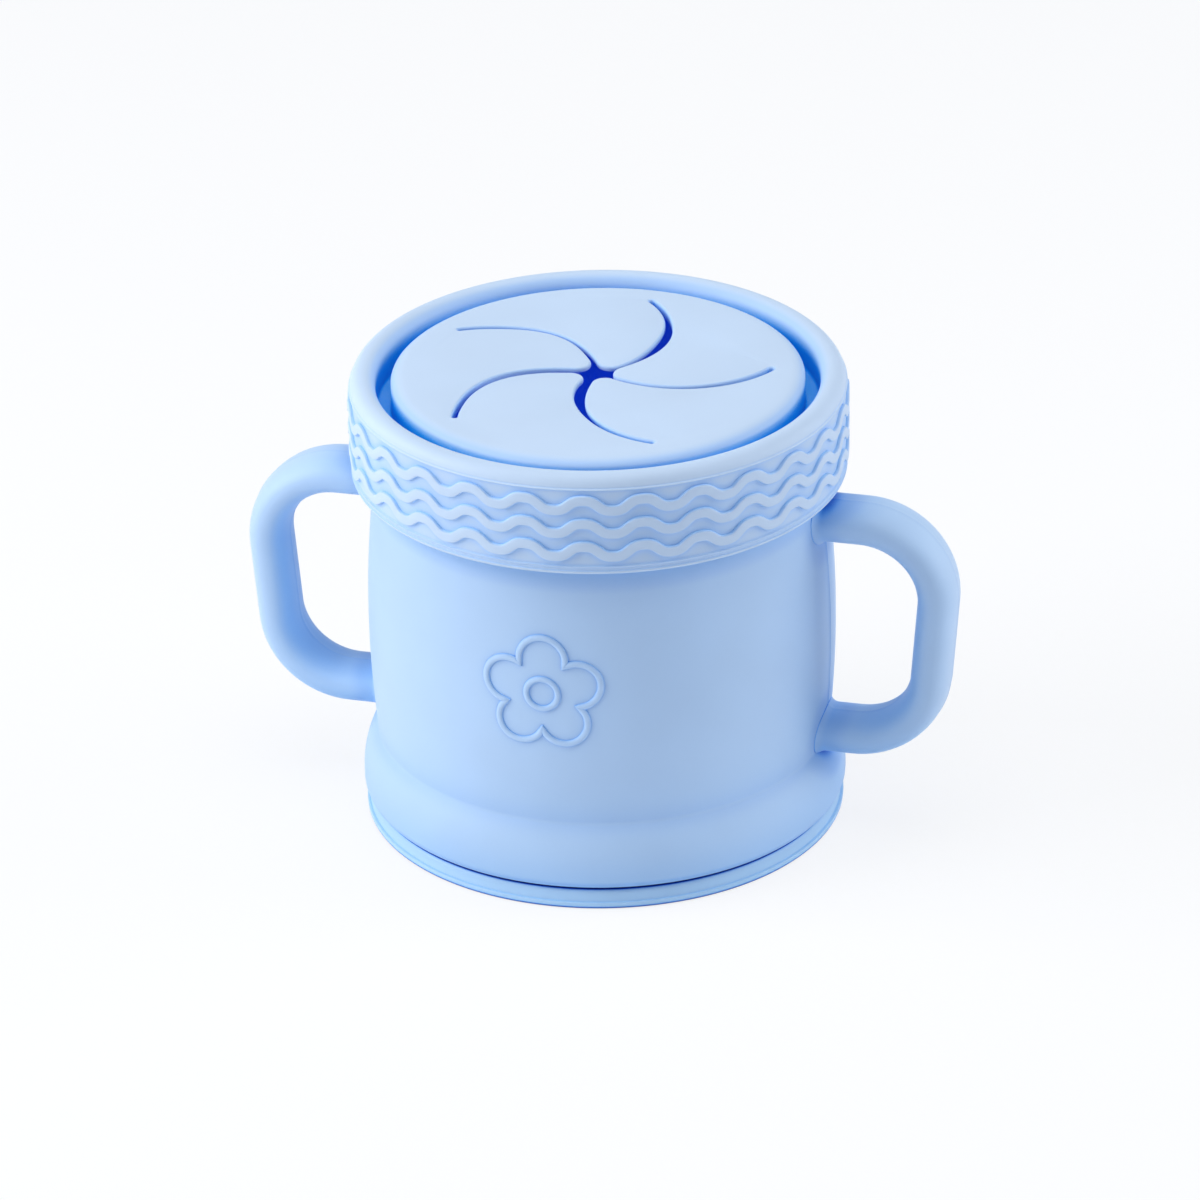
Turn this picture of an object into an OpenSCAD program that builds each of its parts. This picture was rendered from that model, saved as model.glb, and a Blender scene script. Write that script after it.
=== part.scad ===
// Toddler snack container in soft silicone: a barrel-shaped cup with two handles, a lid
// whose disc is slit into five springy flaps, and a cover that plugs in under the foot.
// Millimetres, +Z up, origin under the middle of the base cover, +X through the right handle.

/* [Cup] */
// Height of the cup alone, from the underside of its foot to its rim
cup_h = 74; // [70:1:90]
// Radius of the wall at its widest place
belly_r = 43.1; // [38:0.1:50]
// Height of that place above the underside of the foot
belly_up = 34; // [28:1:38]
// Radius of the long curve of the wall from foot to neck
belly_curve_r = 214; // [190:2:300]
// Thickness of the wall
wall = 2.2; // [1.8:0.1:2.6]
// Thickness of the floor
floor_t = 2.5; // [1.8:0.1:4]
// Rounding between the floor and the wall, inside
floor_round_r = 6; // [3:0.5:10]
// Height of the straight neck that the lid covers
neck_h = 10; // [9.6:0.1:12]
// How far the bead at the rim stands out from the neck
bead_out = 0.7; // [0.4:0.1:1]
// Height of that bead
bead_h = 4; // [3:0.1:6]
// Rounding of the rim, inside and outside
rim_edge_r = 0.6; // [0.3:0.1:0.9]

/* [Foot] */
// How far the foot band stands out from the lower end of the wall
foot_out = 2.9; // [1.6:0.1:4]
// Height of the foot band
foot_h = 12.3; // [10:0.1:16]
// Height of its widest place above its underside
foot_wide_up = 3.2; // [2.4:0.1:5]
// Rounding of its lower edge
foot_edge_r = 1.9; // [1:0.1:2.2]
// Depth of the recess under the floor
recess_d = 5.5; // [5.2:0.1:8]

/* [Lid] */
// Thickness of the skirt outside the cup's rim
skirt_t = 3; // [2.4:0.1:3.6]
// How far the skirt reaches down from the cup's rim
skirt_h = 9.5; // [7:0.1:9.5]
// How far the rim of the lid stands above the cup's rim
lid_rim_h = 9.4; // [8.4:0.1:12]
// Width of the rim of the lid
lid_rim_w = 4.6; // [4:0.1:5]
// Height of the disc's top above the cup's rim
disc_up = 9; // [7.6:0.1:11]
// Width of the groove between the rim and the disc
groove_w = 2.8; // [2.6:0.1:4]
// Thickness of the lid over the cup's rim, under the groove
groove_floor_t = 2; // [1.5:0.1:3]
// Rounding of the disc's edge
disc_edge_r = 1.4; // [0.8:0.1:1.9]
// Thickness of the wall that carries the disc
disc_wall = 2; // [1.4:0.1:2.6]
// Depth of the lip that plugs into the cup's mouth
plug_h = 5; // [3:0.1:8]
// Thickness of that lip
plug_t = 1.6; // [1.2:0.1:2.2]
// Clearance between the lid and the cup
lid_fit = 0.3; // [0.2:0.05:0.5]
// Chamfer of the small edges of the skirt, the plug lip and the disc's underside
lid_chamfer = 0.5; // [0.3:0.1:0.7]

/* [Flaps] */
// Thickness of the disc and its flaps
flap_t = 2; // [1.4:0.1:2.6]
// Distance from a slit's outer end to the edge of the disc
slit_margin = 6.1; // [5:0.1:9]
// Turn of each slit's curve, from the lid's axis to its outer end
slit_sweep = 101; // [85:1:110]
// Width of the slits
slit_w = 0.9; // [0.7:0.05:1.2]
// Rounding of the flaps' tips
tip_r = 2; // [1.5:0.1:2.6]
// How far each slit runs past the line on which the flap bends
slit_past_hinge = 1.3; // [0.5:0.1:2]
// Clearance round the bending root of a flap
hinge_gap = 0.3; // [0.2:0.05:0.5]
// Direction of the end of the first slit, from +X
first_slit_turn = 14; // [0:0.1:72]

/* [Wavy ribs] */
// Number of rows
rib_rows = 3; // [1:1:3]
// Number of waves round the lid
wave_count = 27; // [24:1:30]
// Height of the waves, from trough to crest at mid-rib
wave_h = 2; // [1:0.1:2.4]
// Width of a rib
rib_w = 2; // [1.6:0.1:2.2]
// How far a rib stands out from the skirt
rib_out = 0.6; // [0.3:0.1:1]
// How deep a rib is rooted in the skirt
rib_root = 0.1; // [0.05:0.05:0.3]
// Distance from one row to the next
row_pitch = 4.5; // [4.2:0.1:4.8]
// Distance from the cup's rim up to the middle of the top row
top_row_up = 4; // [3.6:0.1:4.4]
// Direction of a wave's crest, from +X
crest_turn = -79; // [-86:0.1:-72]

/* [Handles] */
// How far a handle stands out from the widest place of the wall
handle_out = 23.9; // [22:0.1:30]
// Thickness of a handle seen from the front
handle_t = 7.3; // [6:0.1:9]
// Width of a handle seen from its side
handle_w = 12.6; // [10:0.1:16]
// Depth of the upper arm's middle below the cup's rim
upper_arm_down = 16; // [15:0.5:22]
// Height of the lower arm's middle above the underside of the foot
lower_arm_up = 14.9; // [14:0.1:24]
// Radius of the upper bend at mid-thickness
upper_bend_r = 14; // [8:0.5:17]
// Radius of the lower bend at mid-thickness
lower_bend_r = 14; // [8:0.5:17]
// Lean of the grip, inwards towards the bottom
grip_lean = 4.5; // [0:0.1:8]
// How far a handle's arms are rooted in the cup's wall
arm_root = 1.2; // [0.8:0.1:1.6]

/* [Base cover] */
// Thickness of the base cover
cover_t = 4; // [3:0.1:6]
// How far the base cover's edge lies inside the widest place of the foot
cover_in = 0.4; // [0.2:0.1:1.4]
// Height of the thin lip round its lower edge
cover_lip_h = 1.3; // [0.8:0.1:2]
// How far the lip stands out from the side above it
cover_lip_out = 0.15; // [0.1:0.05:0.4]
// How far the side leans in from the lip to the top
cover_side_in = 0.5; // [0.4:0.1:1]
// Rounding of its upper edge
cover_edge_r = 0.8; // [0.4:0.1:1.4]
// Height of the ring that plugs into the recess
ring_h = 5; // [3:0.1:5]
// Clearance each side of that ring
ring_fit = 0.3; // [0.2:0.05:0.5]

/* [Hidden] */
$fn = 120;
flap_count = 5;
silicone = "#b3d0f2";
silicone_shade = "#9fc0ea";
silicone_tint = "#c5dcf6";

// Heights above the ground
foot_z = cover_t;
recess_z = foot_z + recess_d;
floor_z = recess_z + floor_t;
belly_z = foot_z + belly_up;
foot_top_z = foot_z + foot_h;
rim_z = foot_z + cup_h;
neck_z = rim_z - neck_h;
groove_z = rim_z + groove_floor_t;
lid_top_z = rim_z + lid_rim_h;
disc_z = rim_z + disc_up;
ring_top_z = cover_t + ring_h;

// Outer radius of the barrel-shaped wall at height z
function wall_r(z) =
    belly_r - belly_curve_r + sqrt(pow(belly_curve_r, 2) - pow(z - belly_z, 2));

// Radii of the foot and of the base cover under it
foot_r = wall_r(foot_top_z) + foot_out;
cover_r = foot_r - cover_in;

// Radii from the inside of the cup out to the lid, each fitting the one before it
neck_r = wall_r(neck_z);
mouth_r = neck_r - wall;
bead_r = neck_r + bead_out;
plug_r = mouth_r - lid_fit;
skirt_r = bead_r + lid_fit;
lid_r = skirt_r + skirt_t;
groove_outer_r = lid_r - lid_rim_w;
disc_r = groove_outer_r - groove_w;
recess_r = groove_outer_r;
ring_r = groove_outer_r - ring_fit;
ring_t = groove_w - 2 * ring_fit;

function direction(t) = [cos(t), sin(t)];

// Points on an arc from angle a to angle b, both ends included
function arc(centre, r, a, b, steps) =
    [for (i = [0 : steps]) centre + r * direction(a + (b - a) * i / steps)];

// The same list without its first and last points
function between(points) = [for (i = [1 : len(points) - 2]) points[i]];

// ---- Base cover -------------------------------------------------------------------------

module base_cover() {
    side_r = cover_r - cover_side_in;
    edge_centre = [side_r - cover_edge_r, cover_t - cover_edge_r];
    color(silicone)
    rotate_extrude()
    polygon(concat(
        [[0, 0], [cover_r, 0], [cover_r, cover_lip_h], [cover_r - cover_lip_out, cover_lip_h]],
        arc(edge_centre, cover_edge_r, 0, 90, 5),
        [[ring_r, cover_t], [ring_r, ring_top_z - ring_fit], [ring_r - ring_fit, ring_top_z],
         [ring_r - ring_t + ring_fit, ring_top_z], [ring_r - ring_t, ring_top_z - ring_fit],
         [ring_r - ring_t, cover_t], [0, cover_t]]
    ));
}

// ---- Cup --------------------------------------------------------------------------------

// The foot band's upper curve: an arc, upright at the widest place, that meets the wall
foot_wide_z = foot_z + foot_wide_up;
band_rise = foot_top_z - foot_wide_z;
band_curve_r = (pow(band_rise, 2) + pow(foot_out, 2)) / (2 * foot_out);
function band_r(z) =
    foot_r - band_curve_r + sqrt(pow(band_curve_r, 2) - pow(z - foot_wide_z, 2));

module cup_body() {
    edge_centre = [foot_r - foot_edge_r, foot_z + foot_edge_r];
    round_z = floor_z + floor_round_r;
    round_r = wall_r(round_z) - wall;
    band_steps = 8;
    wall_steps = 16;
    color(silicone)
    rotate_extrude()
    polygon(concat(
        // Underside of the floor, and the foot
        [[0, recess_z], [recess_r, recess_z], [recess_r, foot_z]],
        arc(edge_centre, foot_edge_r, -90, 0, 6),
        [for (i = [0 : band_steps - 1])
            let (z = foot_wide_z + band_rise * i / band_steps) [band_r(z), z]],
        // Outside of the wall, the neck and its bead
        [for (i = [0 : wall_steps])
            let (z = foot_top_z + (neck_z - foot_top_z) * i / wall_steps) [wall_r(z), z]],
        [[neck_r, rim_z - bead_h - bead_out], [bead_r, rim_z - bead_h]],
        arc([bead_r - rim_edge_r, rim_z - rim_edge_r], rim_edge_r, 0, 90, 3),
        // Inside, from the mouth down to the floor
        arc([mouth_r + rim_edge_r, rim_z - rim_edge_r], rim_edge_r, 90, 180, 3),
        [for (i = [0 : wall_steps - 1])
            let (z = neck_z + (round_z - neck_z) * i / wall_steps) [wall_r(z) - wall, z]],
        arc([round_r - floor_round_r, round_z], floor_round_r, 0, -90, 6),
        [[0, floor_z]]
    ));
}

// ---- Handles ----------------------------------------------------------------------------

// A solid through a list of rings with as many corners each, closed on itself or capped
module sweep(rings, closed = false) {
    corners = len(rings[0]);
    last = len(rings) - 1;
    sides = [for (i = [0 : closed ? last : last - 1]) for (k = [0 : corners - 1])
        let (here = i * corners, next = (i + 1) % len(rings) * corners, turn = (k + 1) % corners)
        [here + k, here + turn, next + turn, next + k]];
    caps = closed ? [] :
        [[for (k = [corners - 1 : -1 : 0]) k], [for (k = [0 : corners - 1]) last * corners + k]];
    polyhedron([for (ring = rings) for (point = ring) point], concat(sides, caps),
        convexity = 6);
}

// A handle's cross-section: an oval, a little fuller than an ellipse
oval_fullness = 0.85;
oval_corners = 24;
function fuller(x) = sign(x) * pow(abs(x), oval_fullness);
handle_oval =
    [for (i = [0 : oval_corners - 1])
        let (t = 360 * i / oval_corners)
        [handle_t / 2 * fuller(cos(t)), handle_w / 2 * fuller(sin(t))]];

// The middle line lies in the XZ plane: an arm out, a bend, the grip, a bend and an arm back
handle_reach = belly_r + handle_out;
upper_arm_z = rim_z - upper_arm_down;
lower_arm_z = foot_z + lower_arm_up;
upper_centre = [handle_reach - handle_t / 2 - upper_bend_r, upper_arm_z - upper_bend_r];
grip_top = upper_centre + upper_bend_r * direction(-grip_lean);
grip_drop = grip_top[1] - lower_arm_z - lower_bend_r * (1 - sin(grip_lean));
grip_bottom = grip_top - grip_drop * [tan(grip_lean), 1];
lower_centre = grip_bottom - lower_bend_r * direction(-grip_lean);

// The oval at a place on the middle line, where t is the direction of the handle's outside
function handle_ring(place, t) =
    [for (p = handle_oval)
        [place[0] + p[0] * cos(t), p[1], place[1] + p[0] * sin(t)]];

module handle() {
    bend_steps = 12;
    upper_root = [wall_r(upper_arm_z) - arm_root, upper_arm_z];
    lower_root = [wall_r(lower_arm_z) - arm_root, lower_arm_z];
    color(silicone_shade)
    sweep(concat(
        [handle_ring(upper_root, 90)],
        [for (i = [0 : bend_steps])
            let (t = 90 - (90 + grip_lean) * i / bend_steps)
            handle_ring(upper_centre + upper_bend_r * direction(t), t)],
        [for (i = [0 : bend_steps])
            let (t = -grip_lean - (90 - grip_lean) * i / bend_steps)
            handle_ring(lower_centre + lower_bend_r * direction(t), t)],
        [handle_ring(lower_root, -90)]
    ));
}

module right_handle() { handle(); }
module left_handle() { mirror([1, 0, 0]) handle(); }

// ---- Slits and flaps --------------------------------------------------------------------

// Each slit is an arc through the lid's axis. From the direction of its outer end, the
// arc's centre lies at slit_centre_turn, and the flap bends on a line square to that end.
slit_pitch = 360 / flap_count;
slit_end_r = disc_r - slit_margin;
slit_curve_r = slit_end_r / (2 * sin(slit_sweep / 2));
slit_centre_turn = 90 - slit_sweep / 2;
hinge_turn = slit_sweep / 2;
hinge_r = slit_end_r * cos(hinge_turn) - slit_past_hinge;
near_centre = slit_curve_r * direction(slit_centre_turn - hinge_turn);
far_centre = slit_curve_r * direction(slit_centre_turn + slit_pitch - hinge_turn);
near_r = slit_curve_r - slit_w / 2;
far_r = slit_curve_r + slit_w / 2;

// The circle at a flap's tip touches its near edge from inside and its far edge from outside
tip_near = near_r - tip_r;
tip_far = far_r + tip_r;
centre_gap = norm(far_centre - near_centre);
centre_line = (far_centre - near_centre) / centre_gap;
tip_along = (pow(tip_near, 2) - pow(tip_far, 2) + pow(centre_gap, 2)) / (2 * centre_gap);
tip_across = sqrt(pow(tip_near, 2) - pow(tip_along, 2));
tip_centre = near_centre + tip_along * centre_line
    + tip_across * [-centre_line[1], centre_line[0]];

function angle_of(v) = atan2(v[1], v[0]);
// The same angle, moved by whole turns to lie within half a turn of another
function near_angle(t, other) = t - 360 * round((t - other) / 360);

// A flap's outline with its bending line square to +X at x = hinge_r
near_hinge_y = near_centre[1] - sqrt(pow(near_r, 2) - pow(hinge_r - near_centre[0], 2));
far_hinge_y = far_centre[1] - sqrt(pow(far_r, 2) - pow(hinge_r - far_centre[0], 2));
near_start = angle_of([hinge_r, near_hinge_y] - near_centre);
near_end = near_angle(angle_of(tip_centre - near_centre), near_start - 90);
far_start = angle_of(tip_centre - far_centre);
far_end = near_angle(angle_of([hinge_r, far_hinge_y] - far_centre), far_start + 60);
tip_start = near_end;
tip_end = near_angle(far_start + 180, tip_start - 90);

module flap_outline() {
    edge_steps = 18;
    tip_steps = 8;
    polygon(concat(
        arc(near_centre, near_r, near_start, near_end, edge_steps),
        between(arc(tip_centre, tip_r, tip_start, tip_end, tip_steps)),
        arc(far_centre, far_r, far_start, far_end, edge_steps)
    ));
}

// Puts its children, drawn for a bending line square to +X, at the flap's place in the lid
module at_flap(i) {
    rotate([0, 0, first_slit_turn + hinge_turn + slit_pitch * (i - 1)])
    translate([0, 0, disc_z - flap_t])
    children();
}

module flap(i) {
    color(silicone_tint)
    at_flap(i)
    union() {
        linear_extrude(height = flap_t) flap_outline();
        // Round root, centred on the line on which the flap bends
        translate([hinge_r, near_hinge_y, flap_t / 2])
        rotate([-90, 0, 0])
        rotate([0, 0, -90])
        rotate_extrude(angle = 180)
        square([flap_t / 2, far_hinge_y - near_hinge_y]);
    }
}

// The room that the flaps and slits take out of the disc
module flap_opening(i) {
    past_root = flap_t / 2 + hinge_gap;
    span = 2 * slit_end_r;
    above = 1;
    at_flap(i)
    translate([0, 0, -above])
    difference() {
        intersection() {
            translate([near_centre[0], near_centre[1], 0])
            cylinder(r = far_r, h = flap_t + 2 * above);
            translate([hinge_r + past_root - span, -span, 0])
            cube([span, 2 * span, flap_t + 2 * above]);
        }
        translate([far_centre[0], far_centre[1], -above])
        cylinder(r = near_r, h = flap_t + 4 * above);
    }
}

// ---- Lid --------------------------------------------------------------------------------

module lid_shell() {
    rim_round = lid_rim_w / 2;
    rim_centre = [lid_r - rim_round, lid_top_z - rim_round];
    disc_corner = [disc_r - disc_edge_r, disc_z - disc_edge_r];
    inner_r = disc_r - disc_wall;
    color(silicone)
    difference() {
        rotate_extrude()
        polygon(concat(
            // Underside: the disc, the wall that carries it, the plug and the skirt
            [[0, disc_z - flap_t], [inner_r - lid_chamfer, disc_z - flap_t],
             [inner_r, disc_z - flap_t - lid_chamfer], [inner_r, groove_z],
             [plug_r - plug_t, rim_z - plug_h / 2], [plug_r - plug_t, rim_z - plug_h],
             [plug_r - lid_chamfer, rim_z - plug_h], [plug_r, rim_z - plug_h + lid_chamfer],
             [plug_r, rim_z], [skirt_r, rim_z], [skirt_r, rim_z - skirt_h]],
            // Outside of the skirt and the rounded rim
            [[lid_r - lid_chamfer, rim_z - skirt_h], [lid_r, rim_z - skirt_h + lid_chamfer]],
            arc(rim_centre, rim_round, 0, 180, 12),
            // The groove and the disc
            [[groove_outer_r, groove_z], [disc_r, groove_z]],
            arc(disc_corner, disc_edge_r, 0, 90, 7),
            [[0, disc_z]]
        ));
        for (i = [1 : flap_count]) flap_opening(i);
    }
}

// One closed wavy rib round the skirt, its middle line at height z
module wavy_rib(z) {
    steps = 8 * wave_count;
    slant = rib_out / 4;
    section = [[-rib_w / 2, -rib_root], [-rib_w / 2 + slant, rib_out],
               [rib_w / 2 - slant, rib_out], [rib_w / 2, -rib_root]];
    sweep([for (i = [0 : steps - 1])
        let (
            t = 360 * i / steps,
            phase = wave_count * (t - crest_turn),
            slope = -wave_h / 2 * sin(phase) * wave_count / lid_r,
            across = [-slope, 1] / norm([slope, 1])
        )
        [for (s = section)
            let (turn = t + s[0] * across[0] / lid_r * 180 / PI)
            [(lid_r + s[1]) * cos(turn), (lid_r + s[1]) * sin(turn),
             z + wave_h / 2 * cos(phase) + s[0] * across[1]]]],
        closed = true);
}

module lid_wave_ribs() {
    color(silicone_tint)
    for (row = [0 : rib_rows - 1]) wavy_rib(rim_z + top_row_up - row * row_pitch);
}

base_cover();
cup_body();
left_handle();
right_handle();
lid_shell();
lid_wave_ribs();
flap(1);  // flap_1
flap(2);  // flap_2
flap(3);  // flap_3
flap(4);  // flap_4
flap(5);  // flap_5
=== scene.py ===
from math import atan2, cos, degrees, hypot, pi, radians, sin, sqrt, tan

import bmesh
import bpy
from mathutils import Matrix, Vector


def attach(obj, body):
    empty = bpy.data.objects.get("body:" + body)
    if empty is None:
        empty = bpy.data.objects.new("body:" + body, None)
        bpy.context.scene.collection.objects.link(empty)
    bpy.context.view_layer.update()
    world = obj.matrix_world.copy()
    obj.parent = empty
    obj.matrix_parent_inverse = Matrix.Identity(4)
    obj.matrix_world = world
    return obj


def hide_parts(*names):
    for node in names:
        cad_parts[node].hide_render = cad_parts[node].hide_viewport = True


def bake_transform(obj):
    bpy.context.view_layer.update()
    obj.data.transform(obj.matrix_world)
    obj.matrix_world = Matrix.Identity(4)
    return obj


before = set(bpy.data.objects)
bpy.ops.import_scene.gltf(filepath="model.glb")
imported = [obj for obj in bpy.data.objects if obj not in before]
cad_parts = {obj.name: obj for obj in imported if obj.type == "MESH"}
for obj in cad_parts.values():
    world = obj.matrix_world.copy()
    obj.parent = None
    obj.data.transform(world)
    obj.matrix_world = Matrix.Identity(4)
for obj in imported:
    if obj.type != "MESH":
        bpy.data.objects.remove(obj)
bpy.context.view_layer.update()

# Toddler's snack cup in pale blue silicone: a barrel-shaped cup with two loop handles, a lid
# with five curved flaps, and a cover on the foot. Sizes below are millimetres.

MM = 0.001

# The cup: its wall bulges on one long curve from the foot band up to the neck
BELLY_R, BELLY_Z, BELLY_CURVE_R = 43.1, 38.0, 214.0
WALL = 2.2
FOOT_Z, FOOT_TOP_Z, RECESS_Z, FLOOR_Z = 4.0, 16.3, 9.5, 12.0
NECK_Z, RIM_Z = 68.0, 78.0

# The lid's rim, groove and disc
LID_R, LID_TOP_Z, DISC_Z, GROOVE_Z, SKIRT_Z = 44.987, 87.4, 87.0, 80.0, 68.5
SKIRT_IN_R, PLUG_R, GROOVE_OUT_R, DISC_R = 41.987, 38.487, 40.387, 37.587
PLATE_R = 33.5
FLAP_T = 2.0

# The slits, and the flaps between them
FLAPS = 5
FLAP_TURN = 360 / FLAPS
SLIT_END_R, SLIT_SWEEP, SLIT_W, TIP_R = DISC_R - 6.1, 101.0, 1.0, 2.75
SLIT_R = SLIT_END_R / (2 * sin(radians(SLIT_SWEEP / 2)))
FIRST_SLIT, HINGE_TURN = 14.0, SLIT_SWEEP / 2
SEAM_TO_HINGE = 1.3
HINGE_R = SLIT_END_R * cos(radians(HINGE_TURN)) - SEAM_TO_HINGE
SEAM_R = HINGE_R + SEAM_TO_HINGE

# Turns of two degrees all round, so that the round parts meet corner to corner
STEPS = 180
# Corners nearer than this are merged, and a place this near a line counts as on it
MERGE_REACH, ON_LINE = 0.002, 0.01


# ---- Drawing and selecting ----------------------------------------------------------------


def deselect():
    bpy.ops.object.select_all(action="DESELECT")


def edit(piece):
    """Opens one piece for editing with nothing in it selected."""
    deselect()
    bpy.context.view_layer.objects.active = piece
    piece.select_set(True)
    bpy.ops.object.mode_set(mode="EDIT")
    bpy.ops.mesh.select_all(action="DESELECT")


def leave():
    bpy.ops.object.mode_set(mode="OBJECT")


def pick(kind, test):
    """Selects the open piece's corners, edges or faces that pass the test, and no others."""
    bpy.ops.mesh.select_mode(type=kind)
    bpy.ops.mesh.select_all(action="DESELECT")
    mesh = bmesh.from_edit_mesh(bpy.context.object.data)
    parts = {"VERT": mesh.verts, "EDGE": mesh.edges, "FACE": mesh.faces}[kind]
    for part in [part for part in parts if test(part)]:
        part.select_set(True)
    mesh.select_flush_mode()
    bmesh.update_edit_mesh(bpy.context.object.data)


def place(corner):
    """Where a corner is, in mm."""
    return corner.co / MM


def draw(points):
    """Draws a line of edges through points in mm, the first from a plane shrunk to a corner."""
    bpy.ops.mesh.select_mode(type="VERT")
    bpy.ops.mesh.select_all(action="DESELECT")
    bpy.ops.mesh.primitive_plane_add(size=MM, location=(0, 0, 0))
    bpy.ops.mesh.merge(type="CENTER")
    here = Vector(points[0])
    bpy.ops.transform.translate(value=here * MM)
    for point in points[1:]:
        step = (Vector(point) - here) * MM
        bpy.ops.mesh.extrude_region_move(TRANSFORM_OT_translate={"value": step})
        here = Vector(point)


def new_piece(name):
    """An empty piece, open for editing: a plane whose corners are taken away."""
    deselect()
    bpy.ops.mesh.primitive_plane_add(size=MM, location=(0, 0, 0))
    piece = bpy.context.object
    piece.name = name
    piece.data.name = name
    bpy.ops.object.mode_set(mode="EDIT")
    bpy.ops.mesh.delete(type="VERT")
    return piece


def close_up():
    """Merges doubled corners and turns every face of the open piece outwards."""
    bpy.ops.mesh.select_all(action="SELECT")
    bpy.ops.mesh.remove_doubles(threshold=MERGE_REACH * MM)
    bpy.ops.mesh.normals_make_consistent(inside=False)
    bpy.ops.mesh.select_all(action="DESELECT")


def turned(name, outline):
    """A body turned round the upright axis from (radius, height) points in mm."""
    piece = new_piece(name)
    draw([(r, 0, z) for r, z in outline])
    bpy.ops.mesh.select_all(action="SELECT")
    bpy.ops.mesh.spin(steps=STEPS, angle=2 * pi, center=(0, 0, 0), axis=(0, 0, 1))
    close_up()
    leave()
    return piece


def use(piece, kind, **settings):
    """Gives a piece one modifier and applies it."""
    deselect()
    bpy.context.view_layer.objects.active = piece
    piece.select_set(True)
    modifier = piece.modifiers.new(kind.title(), kind)
    for name, value in settings.items():
        setattr(modifier, name, value)
    bpy.ops.object.modifier_apply(modifier=modifier.name)


def smooth(piece, angle=32):
    """Shades smooth across edges that turn by less than the angle in degrees."""
    deselect()
    bpy.context.view_layer.objects.active = piece
    piece.select_set(True)
    bpy.ops.object.shade_smooth_by_angle(angle=radians(angle))


def join(piece, *others):
    """Makes the others part of the piece."""
    deselect()
    for other in others:
        other.select_set(True)
    piece.select_set(True)
    bpy.context.view_layer.objects.active = piece
    bpy.ops.object.join()


def copy_of(piece, name):
    """A copy with its own mesh."""
    made = piece.copy()
    made.data = piece.data.copy()
    made.name = made.data.name = name
    bpy.context.collection.objects.link(made)
    return made


# ---- Outlines -----------------------------------------------------------------------------


def ray(t):
    """A step of 1 in the direction of t degrees."""
    return Vector((cos(radians(t)), sin(radians(t))))


def arc(centre, r, a, b, steps):
    """Points on an arc, both ends included."""
    return [Vector(centre) + r * ray(a + (b - a) * i / steps) for i in range(steps + 1)]


def wall_r(z):
    """Radius of the cup's wall at that height."""
    return BELLY_R - BELLY_CURVE_R + sqrt(BELLY_CURVE_R ** 2 - (z - BELLY_Z) ** 2)


def eased(before, corner, after, reach, steps=5):
    """A corner between two points, rounded off over its reach each way."""
    corner = Vector(corner)
    a = corner + (Vector(before) - corner).normalized() * reach
    b = corner + (Vector(after) - corner).normalized() * reach
    return [a * (1 - t) ** 2 + corner * 2 * t * (1 - t) + b * t ** 2
            for t in (i / steps for i in range(steps + 1))]


# ---- Cup and handles ----------------------------------------------------------------------

# The foot band stands out from the wall and curves in towards its top
FOOT_OUT = 2.9
FOOT_R = wall_r(FOOT_TOP_Z) + FOOT_OUT
FOOT_WIDE_Z, FOOT_EDGE_R = FOOT_Z + 3.2, 1.9
BAND_RISE = FOOT_TOP_Z - FOOT_WIDE_Z
BAND_CURVE_R = (BAND_RISE ** 2 + FOOT_OUT ** 2) / (2 * FOOT_OUT)
WAIST_EASE = 0.5
BEAD, MOUTH_CURVE_R, FLOOR_CURVE_R = 0.7, 0.7, 6


def band_r(z):
    """Radius of the foot band at that height."""
    return FOOT_R - BAND_CURVE_R + sqrt(BAND_CURVE_R ** 2 - (z - FOOT_WIDE_Z) ** 2)


def cup_outline():
    """From the middle of the underside out round the foot, up the wall and down inside."""
    neck_r = wall_r(NECK_Z)
    mouth_r, bead_r = neck_r - WALL, neck_r + BEAD
    in_z = FLOOR_Z + FLOOR_CURVE_R
    in_r = wall_r(in_z) - WALL
    foot_in = eased((GROOVE_OUT_R, RECESS_Z), (GROOVE_OUT_R, FOOT_Z), (FOOT_R, FOOT_Z), 0.4, 3)
    waist = eased((band_r(FOOT_TOP_Z - WAIST_EASE), FOOT_TOP_Z - WAIST_EASE),
                  (wall_r(FOOT_TOP_Z), FOOT_TOP_Z),
                  (wall_r(FOOT_TOP_Z + WAIST_EASE), FOOT_TOP_Z + WAIST_EASE), WAIST_EASE, 5)
    return (
        [(0, RECESS_Z), (20, RECESS_Z)]
        + eased((0, RECESS_Z), (GROOVE_OUT_R, RECESS_Z), (GROOVE_OUT_R, FOOT_Z), 1.2)
        + foot_in
        + arc((FOOT_R - FOOT_EDGE_R, FOOT_Z + FOOT_EDGE_R), FOOT_EDGE_R, -90, 0, 8)
        + [(band_r(z), z) for z in (FOOT_WIDE_Z + (BAND_RISE - 1.1) * i / 10
                                    for i in range(11))]
        + waist
        + [(wall_r(z), z) for z in (FOOT_TOP_Z + 1.6 + (NECK_Z - FOOT_TOP_Z - 1.6) * i / 34
                                    for i in range(35))]
        + [(neck_r, RIM_Z - 4.9), (neck_r + 0.25, RIM_Z - 4.5)]
        + arc((bead_r - 0.5, RIM_Z - 3.6), 0.5, -35, 0, 3)
        + arc((bead_r - MOUTH_CURVE_R, RIM_Z - MOUTH_CURVE_R), MOUTH_CURVE_R, 0, 90, 5)
        + arc((mouth_r + MOUTH_CURVE_R, RIM_Z - MOUTH_CURVE_R), MOUTH_CURVE_R, 90, 180, 5)
        + [(wall_r(z) - WALL, z) for z in (NECK_Z + (in_z - NECK_Z) * i / 30
                                           for i in range(30))]
        + arc((in_r - FLOOR_CURVE_R, in_z), FLOOR_CURVE_R, 0, -90, 10)
        + [(18, FLOOR_Z), (0, FLOOR_Z)]
    )


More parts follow.
